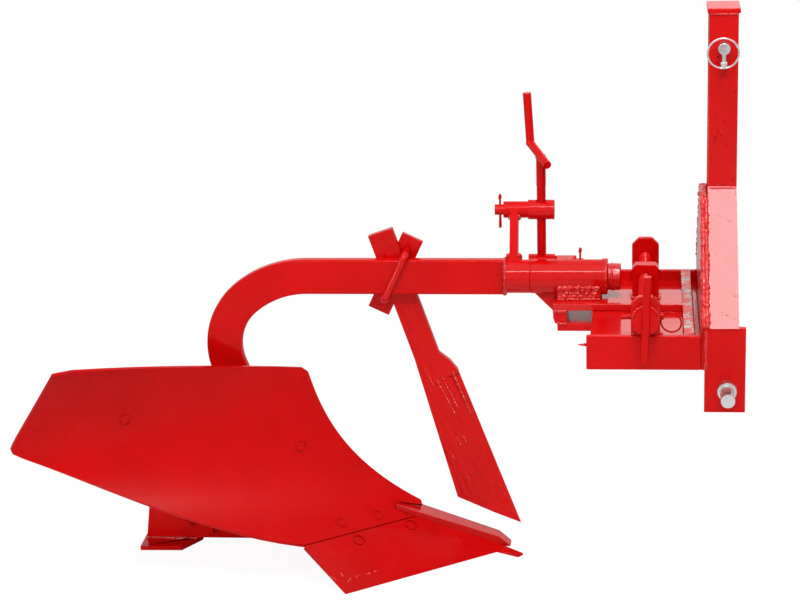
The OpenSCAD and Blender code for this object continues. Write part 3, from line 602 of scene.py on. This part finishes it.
arm_x = COLLAR_X + 14
arm_reach = Vector((0, 48, 103))
lean = arm_reach.normalized()
across = Vector((0, lean.z, -lean.y))
for step, name in ((-9, "rear"), (9, "front")):
    foot = Vector((arm_x + step, AXIS_Y, AXIS_Z)) + lean * 33
    bead("weld_arm_" + name, "plough", [foot - across * 16, foot + across * 16], radius=5.0)
for step, name in ((-8, "rear"), (8, "front")):
    foot = Vector((arm_x + step, AXIS_Y, AXIS_Z)) + arm_reach - lean * 13.5
    bead("weld_boss_" + name, "plough", [foot - across * 12, foot + across * 12], radius=2.6)
print("beam head welds done")

# %% [markdown]
# ### Welds on the carriage
# The sleeve lies on a block, and the thickest weld of the machine fills the corner between them. It was
# run in several rows, one over the other, so the block's sides are rough from top to bottom.

# %% Sleeve and block welds
plate_top, sleeve_foot, fill_rows = 454, 476, (461, 466, 471)
for side, name in SIDES:
    y = AXIS_Y + side * 25
    bead("weld_sleeve_" + name, "carriage", level_run(297, 362, y, sleeve_foot), radius=4.6, rough=0.35)
    bead("weld_block_" + name, "carriage", level_run(294, 363, y, plate_top + 2), radius=3.2, rough=0.3)
    for row, z in enumerate(fill_rows):
        path = level_run(296, 361, y - side * 1.5, z)
        bead("weld_fill_%s_%d" % (name, row + 1), "carriage", path, radius=3.8, rough=0.4)
bead("weld_sleeve_end", "carriage", trunnion_ring(SLEEVE_END_X - 1, 28), radius=2.4, closed=True)
print("sleeve and block welds done")

# %% Plate, lug and cap welds
for side, name in SIDES:
    y = AXIS_Y + side * 45
    bead("weld_spacer_" + name, "carriage", level_run(288, 309, y, 441), radius=2.6)
    bead("weld_keeper_" + name, "carriage", level_run(295, 309, y, 420), radius=2.6)
nut_corners = ((-22, -11), (22, -11), (22, 11), (-22, 11))
path = [(OFFSET_X + x, AXIS_Y + y, plate_top + 1) for x, y in nut_corners]
bead("weld_nut", "carriage", path, radius=2.8, closed=True)
bead("weld_lug", "carriage", level_run(293, 316, AXIS_Y + 27, 511), radius=3.0)

cap, cap_radius = SLEEVE_END_X + 8, 21.5
bead("weld_cap", "plough", trunnion_ring(cap, 21), radius=2.4, closed=True)
for i, start in enumerate((-50, -15, 20, 200)):
    a, b = math.radians(start - 90), math.radians(start - 70)
    path = [(cap + 2, AXIS_Y + cap_radius * math.cos(a), AXIS_Z + cap_radius * math.sin(a)),
            (cap + 12, AXIS_Y + cap_radius * math.cos(b), AXIS_Z + cap_radius * math.sin(b))]
    bead("weld_cap_run_%d" % (i + 1), "plough", path, radius=2.0)
print("carriage welds done")

# %% [markdown]
# ### Welds on the headstock
# The web plate's edges are closed with two coarse beads beside the splayed mast bars. They are the
# roughest thing on the machine, and their drops throw back small lights. A fine bead crosses each mast
# bar where its splayed leg is mitred on.

# %% Headstock welds
web_edge, web_top, bracket_top, side_bar_top = 532, 640, 476, 460
web_low_y, web_top_y, bracket_y, leg_y, side_bar_y = 211, 58, 210, 208, 189
mitre_y, mitre_z, cap_y, cap_z = 40, 660, 38, 941
for side, name in SIDES:
    for row, x in enumerate((web_edge - 2, web_edge + 3)):
        path = [(x, 0, web_top + 1), (x, side * web_top_y, web_top + 1),
                (x, side * web_low_y, bracket_top + 4)]
        bead("weld_web_%s_%d" % (name, row + 1), "headstock", path, radius=4.0, rough=0.5)
    path = level_run(541, 581, side * mitre_y, mitre_z)
    bead("weld_mitre_" + name, "headstock", path, radius=1.8, rough=0.3)
    path = upright_run(533, side * bracket_y, bracket_top - 3, 408)
    bead("weld_bracket_" + name, "headstock", path, radius=3.0, rough=0.3)
    path = level_run(540, 583, side * leg_y, bracket_top)
    bead("weld_leg_" + name, "headstock", path, radius=2.6, rough=0.35)
    path = upright_run(525, side * side_bar_y, 445, side_bar_top)
    bead("weld_side_bar_" + name, "headstock", path, radius=2.6)
    path = level_run(418, 463, side * side_bar_y, side_bar_top)
    bead("weld_offset_bracket_" + name, "headstock", path, radius=3.0, rough=0.35)
    path = level_run(541, 581, side * cap_y, cap_z)
    bead("weld_cap_bar_" + name, "headstock", path, radius=2.0)
bead("weld_rail", "headstock", [(516, -185, 442), (516, 185, 442)], radius=2.2)
bead("weld_hub", "headstock", ring((OFFSET_X, -190, OFFSET_Z), ALONG_Y, 20), radius=2.2, closed=True)
print("headstock welds done")

# %% [markdown]
# ### Welds on the crank, the heel and the wing brace
# The crank is a bar laid over the tilt screw and welded round it. The heel's foot is welded to its
# upright plate, and the wing brace to the landside.

# %% Crank, heel and brace welds
crank_z = 681
path = ring((SCREW_X, SCREW_Y, crank_z), ALONG_Z, 7.5, count=24)
bead("weld_crank", "screw_set", path, radius=1.8, closed=True)
bead("weld_heel_right", "plough", level_run(-430, -345, AXIS_Y + 10, 8), radius=3.0)
brace_x, brace_z, brace_radius = -275, 48, 9
path = [(brace_x + brace_radius * math.cos(a), AXIS_Y + 11, brace_z + brace_radius * math.sin(a))
        for a in (0, 0.8, 1.6, 2.4, 3.2, 4.0, 4.8, 5.6)]
bead("weld_brace", "plough", path, radius=2.4, closed=True)
print("crank, heel and brace welds done")

# %% [markdown]
# ### Forge marks on the coulter and the share
# The knife was drawn out under a hammer, and scale was left in rows of small lumps under the paint. The
# share has a few such scars near its cutting edge. They are short beads of very small drops, sunk half
# into the blade's face. A ray shot at the blade finds the face, so the marks follow its slope.

# %% Forge marks
sunk = 1.0

def on_surface(piece, x, z):
    found, place, normal, face = piece.ray_cast(Vector((x * MM, -1, z * MM)), Vector(ALONG_Y))
    return place / MM, normal

def marks(label, piece, rows, radius):
    for i, row in enumerate(rows):
        hits = [on_surface(piece, x, z) for x, z in row]
        path = [place - normal * sunk for place, normal in hits]
        bead("%s_%d" % (label, i + 1), "plough", path, radius, rough=0.55)

forge_rows = (
    ((66, 323), (80, 291)), ((87, 300), (115, 243)), ((96, 306), (121, 253)),
    ((113, 317), (142, 242)), ((118, 200), (124, 186)), ((129, 203), (134, 190)),
    ((110, 167), (114, 156)), ((136, 128), (139, 119)))
scar_rows = (
    ((-80, 22.8), (-71.5, 18.3)), ((-64.7, 23.1), (-60, 19)), ((-52.2, 12.7), (-48.2, 16)),
    ((-41, 15), (-37, 17)), ((-23.5, 15.6), (-19, 15)), ((-12.7, 15.7), (-10, 16)))
marks("forge_mark", bpy.data.objects["coulter_rounded"], forge_rows, radius=2.2)
marks("share_scar", bpy.data.objects["share_rounded"], scar_rows, radius=1.6)
discard(weld_drop)
print("forge marks done")

# %% [markdown]
# ## Bolt heads and nuts
# Soil has to slide over the moldboard, so its bolts have flat countersunk heads. Each shows only as a
# ring in the paint, where filler hasn't closed the gap. The head is a disc whose top is inset twice
# and pushed in between, which leaves a ring-shaped groove. The share's heads have a dimple in the
# middle instead, which one inset and one push make. A nut is a six-sided rod, and a ball cuts its
# corners round, as a lathe does.

# %% Tools for heads
def pick_faces(piece, test):
    only(piece)
    bpy.ops.object.mode_set(mode="EDIT")
    bpy.ops.mesh.select_mode(type="FACE")
    bpy.ops.mesh.select_all(action="DESELECT")
    bpy.ops.object.mode_set(mode="OBJECT")
    for face in piece.data.polygons:
        face.select = test(face)
    bpy.ops.object.mode_set(mode="EDIT")

def push(distance):
    bpy.ops.mesh.extrude_region_move(TRANSFORM_OT_translate={"value": (0, 0, distance * MM)})

def upright_rod(low, high, radius, vertices):
    piece = rod((0, 0, low), (0, 0, high), radius, vertices)
    write_place(piece)
    return piece
print("head tools ready")

# %% Bolt heads
head_depth, groove_depth = 3, 1.3
flat_head = upright_rod(-head_depth, 0, radius=10.5, vertices=40)
pick_faces(flat_head, lambda face: face.normal.z > 0.9)
bpy.ops.mesh.inset(thickness=1.2 * MM)
push(-groove_depth)
bpy.ops.mesh.inset(thickness=1.7 * MM)
push(groove_depth)
bpy.ops.object.mode_set(mode="OBJECT")
modifier(flat_head, "BEVEL", width=0.2 * MM, segments=2)

dimpled_head = upright_rod(-head_depth, 0, radius=8.0, vertices=40)
pick_faces(dimpled_head, lambda face: face.normal.z > 0.9)
bpy.ops.mesh.inset(thickness=5.6 * MM)
push(-1.4)
bpy.ops.object.mode_set(mode="OBJECT")
modifier(dimpled_head, "BEVEL", width=0.5 * MM, segments=2)
print("head faces:", len(flat_head.data.polygons), len(dimpled_head.data.polygons))

# %% Nuts and washer
def hex_part(flats, height):
    part = upright_rod(0, height, flats / 2 / math.cos(math.pi / 6), 6)
    ball_radius = math.hypot(flats / 2, height / 2) * 1.06
    bpy.ops.object.select_all(action="DESELECT")
    bpy.ops.mesh.primitive_uv_sphere_add(segments=48, ring_count=32, radius=ball_radius * MM,
                                         location=(0, 0, height / 2 * MM))
    ball = bpy.context.object
    modifier(part, "BOOLEAN", operation="INTERSECT", object=ball, solver="EXACT")
    discard(ball)
    return part

hex_nut = hex_part(flats=19, height=11)
stud = rod((0, 0, 10), (0, 0, 15), radius=6, vertices=24)
nut_on_stud = joined(copy_of(hex_nut, Matrix()), stud)
washer_t = 2.5
washer = upright_rod(0, washer_t, radius=13.5, vertices=32)
modifier(washer, "BEVEL", width=0.4 * MM, segments=2)
print("nut faces:", len(hex_nut.data.polygons))

# %% [markdown]
# ## Bolts on the moldboard and the share
# Each head sits in a recess that a boolean cuts into the sheet. On the curved moldboard the cut would
# disturb the shading, so the normals are then taken from an uncut copy. The nuts behind stand on the
# rearmost face that a ray finds there; the bolt on the wing ends in the brace and shows none.

# %% Recesses and fitting
def recess(piece, cutters, angle, even=False):
    whole = copy_of(piece, Matrix())
    cutter = joined(*cutters)
    modifier(piece, "BOOLEAN", operation="DIFFERENCE", object=cutter, solver="EXACT")
    bpy.ops.object.shade_smooth_by_angle(angle=math.radians(angle))
    if even:
        modifier(piece, "DATA_TRANSFER", object=whole, use_loop_data=True,
                 data_types_loops={"CUSTOM_NORMAL"}, loop_mapping="POLYINTERP_NEAREST")
    else:
        modifier(piece, "WEIGHTED_NORMAL", keep_sharp=True)
    discard(cutter, whole)

def pockets(seats, depth, radius):
    return [rod(place - normal * depth, place + normal * 6, radius, 40) for place, normal in seats]

def fit(model, place, direction, name, material=bar_paint, angle=35):
    return settle(copy_of(model, along(place, direction)), name, "plough", material, angle=angle)

board, share = bpy.data.objects["moldboard_rounded"], bpy.data.objects["share_rounded"]
behind_the_board = [bpy.data.objects["frog_rounded"], board, share]

def rearmost(place, normal, reach=40):
    start = (place - normal * reach) * MM
    depths = [0]
    for piece in behind_the_board:
        found, hit, side, face = piece.ray_cast(start, normal, distance=reach * MM)
        if found:
            depths.append((place - hit / MM).dot(normal))
    return max(depths)

def fit_nut(place, normal, name):
    fit(nut_on_stud, place - normal * (rearmost(place, normal) - 0.2), -normal, name)
print("fitting tools ready")

# %% Moldboard bolts
board_spots = ((-421.7, 282), (-147.9, 190), (-72.9, 76.7), (-15.3, 75))
board_seats = [on_surface(board, x, z) for x, z in board_spots]
for i, (place, normal) in enumerate(board_seats):
    name = "board_bolt_%d" % (i + 1)
    fit(flat_head, place + normal * 0.1, normal, name, board_paint, angle=12)
    if i > 0:  # the first is the one on the wing
        fit_nut(place, normal, "board_nut_%d" % (i + 1))
recess(board, pockets(board_seats, depth=1.4, radius=10.9), 35, even=True)
print("moldboard bolts:", len(board_seats))

# %% [markdown]
# ### The moldboard's beak
# At the foot of its cutting edge the sheet ends in a small beak over the share's bar. What has to go
# is a notch with straight sides, so a wedge is extruded from a circle of three points, and a boolean
# takes it away from the corner.

# %% Beak
def wedge(corners, normal, thickness):
    bpy.ops.object.select_all(action="DESELECT")
    bpy.ops.mesh.primitive_circle_add(vertices=3, fill_type="NGON")
    piece = bpy.context.object
    for vertex, corner in zip(piece.data.vertices, corners):
        vertex.co = (Vector(corner) - Vector(normal) * thickness / 2) * MM
    way = Vector(normal) * thickness * MM
    bpy.ops.object.mode_set(mode="EDIT")
    bpy.ops.mesh.select_all(action="SELECT")
    bpy.ops.mesh.extrude_region_move(TRANSFORM_OT_translate={"value": way})
    bpy.ops.mesh.select_all(action="SELECT")
    bpy.ops.mesh.normals_make_consistent(inside=False)
    bpy.ops.object.mode_set(mode="OBJECT")
    return piece

beak_corners = ((10.0, 42.3, 86.4), (66, 54.5, 81.5), (66, 49.5, 60))
beak_normal = (0.38, -0.51, 0.77)
recess(board, [wedge(beak_corners, beak_normal, thickness=40)], 35, even=True)
print("moldboard faces with its beak:", len(board.data.polygons))

# %% Share bolts
share_seats = [on_surface(share, x, z) for x, z in ((-42.2, 53.5), (39.7, 55.0))]
for i, (place, normal) in enumerate(share_seats):
    name = "share_bolt_%d" % (i + 1)
    fit(dimpled_head, place - normal * 0.5, normal, name, forged_paint, angle=12)
    fit_nut(place, normal, "share_nut_%d" % (i + 1))
recess(share, pockets(share_seats, depth=2.4, radius=10.6), 8)
print("share bolts:", len(share_seats))

# %% [markdown]
# ## Bolts on the landside, the frog and the coulter
# The landside bar takes flat heads too, because the furrow wall rubs on it, and the nuts sit inside.
# The two nuts of the coulter's clamp bolt stand on washers on the clamp plate. All are copies of the
# models made above.

# %% Landside, frog and clamp bolts
near_face, frog_face, far_face, clamp_face = AXIS_Y + 10, AXIS_Y + 22, AXIS_Y + 32, AXIS_Y + 34.6
for i, (x, z) in enumerate(((-357.7, 40), (-200, 42), (-110, 42))):
    fit(flat_head, (x, far_face + 0.3, z), ALONG_Y, "landside_bolt_%d" % (i + 1))
    fit(nut_on_stud, (x, near_face, z), (0, -1, 0), "landside_nut_%d" % (i + 1))
for i, (x, z) in enumerate(((-222, 216), (-196, 151))):
    fit(hex_nut, (x, frog_face, z), ALONG_Y, "frog_bolt_%d" % (i + 1))
for (x, z), name in (((38.0, 526.9), "upper"), ((1.8, 451.2), "lower")):
    fit(washer, (x, clamp_face, z), ALONG_Y, "clamp_washer_" + name)
    fit(hex_nut, (x, clamp_face + washer_t, z), ALONG_Y, "clamp_nut_" + name)
discard(flat_head, dimpled_head, hex_nut, nut_on_stud, washer)
print("bolts done")

# %% [markdown]
# ## Cotter pins
# Both swivel pins are kept in by a cotter: a half-round wire doubled back on itself, with an eye at
# the top and two legs spread a little below. The eye is a torus, and the legs are thin rods, which is
# enough for a wire this thin.

# %% Cotter pins
def torus(place, axis, radius, wire):
    bpy.ops.object.select_all(action="DESELECT")
    bpy.ops.mesh.primitive_torus_add(major_radius=radius * MM, minor_radius=wire * MM,
                                     major_segments=48, minor_segments=12)
    piece = bpy.context.object
    piece.matrix_world = along(place, axis)
    return piece

def cotter(name, body, x, y, z, rise, drop, wire=1.7):
    parts = [torus((x, y, z + rise - 5), (1, -0.3, 0), 3.6, wire)]
    for side in (-1, 1):
        start, end = (x, y + side * 1.3, z + rise - 8), (x, y + side * 1.1, z)
        parts.append(rod(start, end, wire, 14))
    for side in (-1, 1):
        start, end = (x, y + side * 1.1, z + 1), (x + side * 0.8, y + side * 2.6, z - drop)
        parts.append(rod(start, end, wire, 14))
    return settle(joined(*parts), name, body, bar_paint)

cotter("cotter_upper", "upper_block", 195.5, SCREW_Y, 592, rise=27, drop=31)
cotter("cotter_lower", "screw_set", 329.5, SCREW_Y, 498, rise=28, drop=24)
print("cotter pins done")

# %% [markdown]
# ## Linch pins
# The top link's pin is kept in by a zinc-plated linch pin: a short peg through the end of the pin and
# a wire ring that snaps over it. A red one does the same for the offset screw, inside its bracket. A
# peg and its head are rods, and the ring is a torus. The point of a last pin shows at the tray's rear.

# %% Linch pins
def linch_pin(peg, peg_radius, head, head_radius, edge):
    shank = rod(*peg, peg_radius)
    knob = rod(*head, head_radius)
    modifier(knob, "BEVEL", width=edge * MM, segments=2)
    return shank, knob

top_x, top_y = 561, -53
shank, knob = linch_pin(((top_x, top_y, 897), (top_x, top_y, 866)), 3.4,
                        ((top_x, top_y, 868), (top_x, top_y, 858)), 5.4, edge=1.2)
hoop = torus((559.5, -58.5, 882), (0, 1, 0.12), 24.5, 1.5)
settle(joined(shank, knob, hoop), "top_linch_pin", "headstock", zinc)

pin_y = -171
shank, knob = linch_pin(((400, pin_y, 482), (462, pin_y, 484)), 3.6,
                        ((459, pin_y, 484), (468, pin_y, 484)), 5.6, edge=1.0)
hoop = torus((479, pin_y, 474), (0.25, 1, 0.1), 16.5, 1.4)
settle(joined(shank, knob, hoop), "offset_linch_pin", "headstock", bar_paint)

bpy.ops.object.select_all(action="DESELECT")
bpy.ops.mesh.primitive_cone_add(vertices=24, radius1=3.6 * MM, radius2=0.6 * MM, depth=20 * MM)
point = bpy.context.object
point.matrix_world = along((342, -180, 439), (-1, 0, 0))
settle(point, "pin_point", "headstock", bar_paint)
print("linch pins done")

# %% [markdown]
# ## Holes in the link pins
# Each lower link pin has a cross hole near its end for the tractor's own linch pin. It was drilled, so
# a thin rod is taken away from the pin by a boolean.

# %% Cross holes
hole_x, hole_y = 566, 262
for side, name in SIDES:
    pin = bpy.data.objects["hitch_pin_%s_rounded" % name]
    drill = rod((hole_x, side * hole_y, 350), (hole_x, side * hole_y, 404), radius=5, vertices=28)
    modifier(pin, "BOOLEAN", operation="DIFFERENCE", object=drill, solver="EXACT")
    discard(drill)
    only(pin)
    bpy.ops.object.shade_smooth_by_angle(angle=math.radians(35))
print("cross holes done")

# %% [markdown]
# ## Threads
# Two screws set the plough: one tilts it and one shifts it sideways. A thread is a small triangle
# carried round and along a rod, which is what the screw modifier does. The triangle's foot lies inside
# a thinner core, and plain ends of full size are left where the screws turn in their bearings.

# %% Thread tool
def thread(start, end, radius, depth, pitch):
    bpy.ops.object.select_all(action="DESELECT")
    bpy.ops.mesh.primitive_circle_add(vertices=3, radius=1)
    ridge = bpy.context.object
    inner = radius - depth - 0.3
    corners = ((inner, 0, 0.05 * pitch), (radius, 0, pitch / 2), (inner, 0, 0.95 * pitch))
    for vertex, corner in zip(ridge.data.vertices, corners):
        vertex.co = Vector(corner) * MM
    way = Vector(end) - Vector(start)
    modifier(ridge, "SCREW", axis="Z", screw_offset=pitch * MM, steps=24, render_steps=24,
             iterations=int(way.length / pitch) - 1)
    bpy.ops.object.mode_set(mode="EDIT")
    bpy.ops.mesh.select_all(action="SELECT")
    bpy.ops.mesh.fill_holes(sides=4)
    bpy.ops.mesh.normals_make_consistent(inside=False)
    bpy.ops.object.mode_set(mode="OBJECT")
    ridge.matrix_world = along(start, way)
    return ridge

def threaded_screw(name, body, node, parts):
    bpy.data.objects.remove(bpy.data.objects[node + "_rounded"])
    screw = settle(joined(*parts), name, body, bar_paint)
    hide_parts(node)
    return screw
print("thread tool ready")

# %% Threads
def on_tilt(z):
    return SCREW_X, SCREW_Y, z

def on_offset(y):
    return OFFSET_X, y, OFFSET_Z

tilt_low, tilt_plain, tilt_top, tilt_r = 474, 634, 686, 8.0
threaded_screw("tilt_screw_threaded", "screw_set", "tilt_screw", [
    rod(on_tilt(tilt_low), on_tilt(tilt_top - 1), 7.3, 32),
    rod(on_tilt(tilt_plain), on_tilt(tilt_top), tilt_r, 32),
    thread(on_tilt(tilt_low + 2), on_tilt(tilt_plain), tilt_r, depth=0.8, pitch=2.0)])

plain_right, plain_left, offset_r = -166, 174, 12.0
threaded_screw("offset_screw_threaded", "headstock", "offset_screw", [
    rod(on_offset(-199), on_offset(205), 10.6, 40),
    rod(on_offset(-200), on_offset(plain_right), offset_r, 40),
    rod(on_offset(plain_left), on_offset(206), offset_r, 40),
    thread(on_offset(plain_right), on_offset(plain_left), offset_r, depth=1.5, pitch=4.0)])
print("threads done")
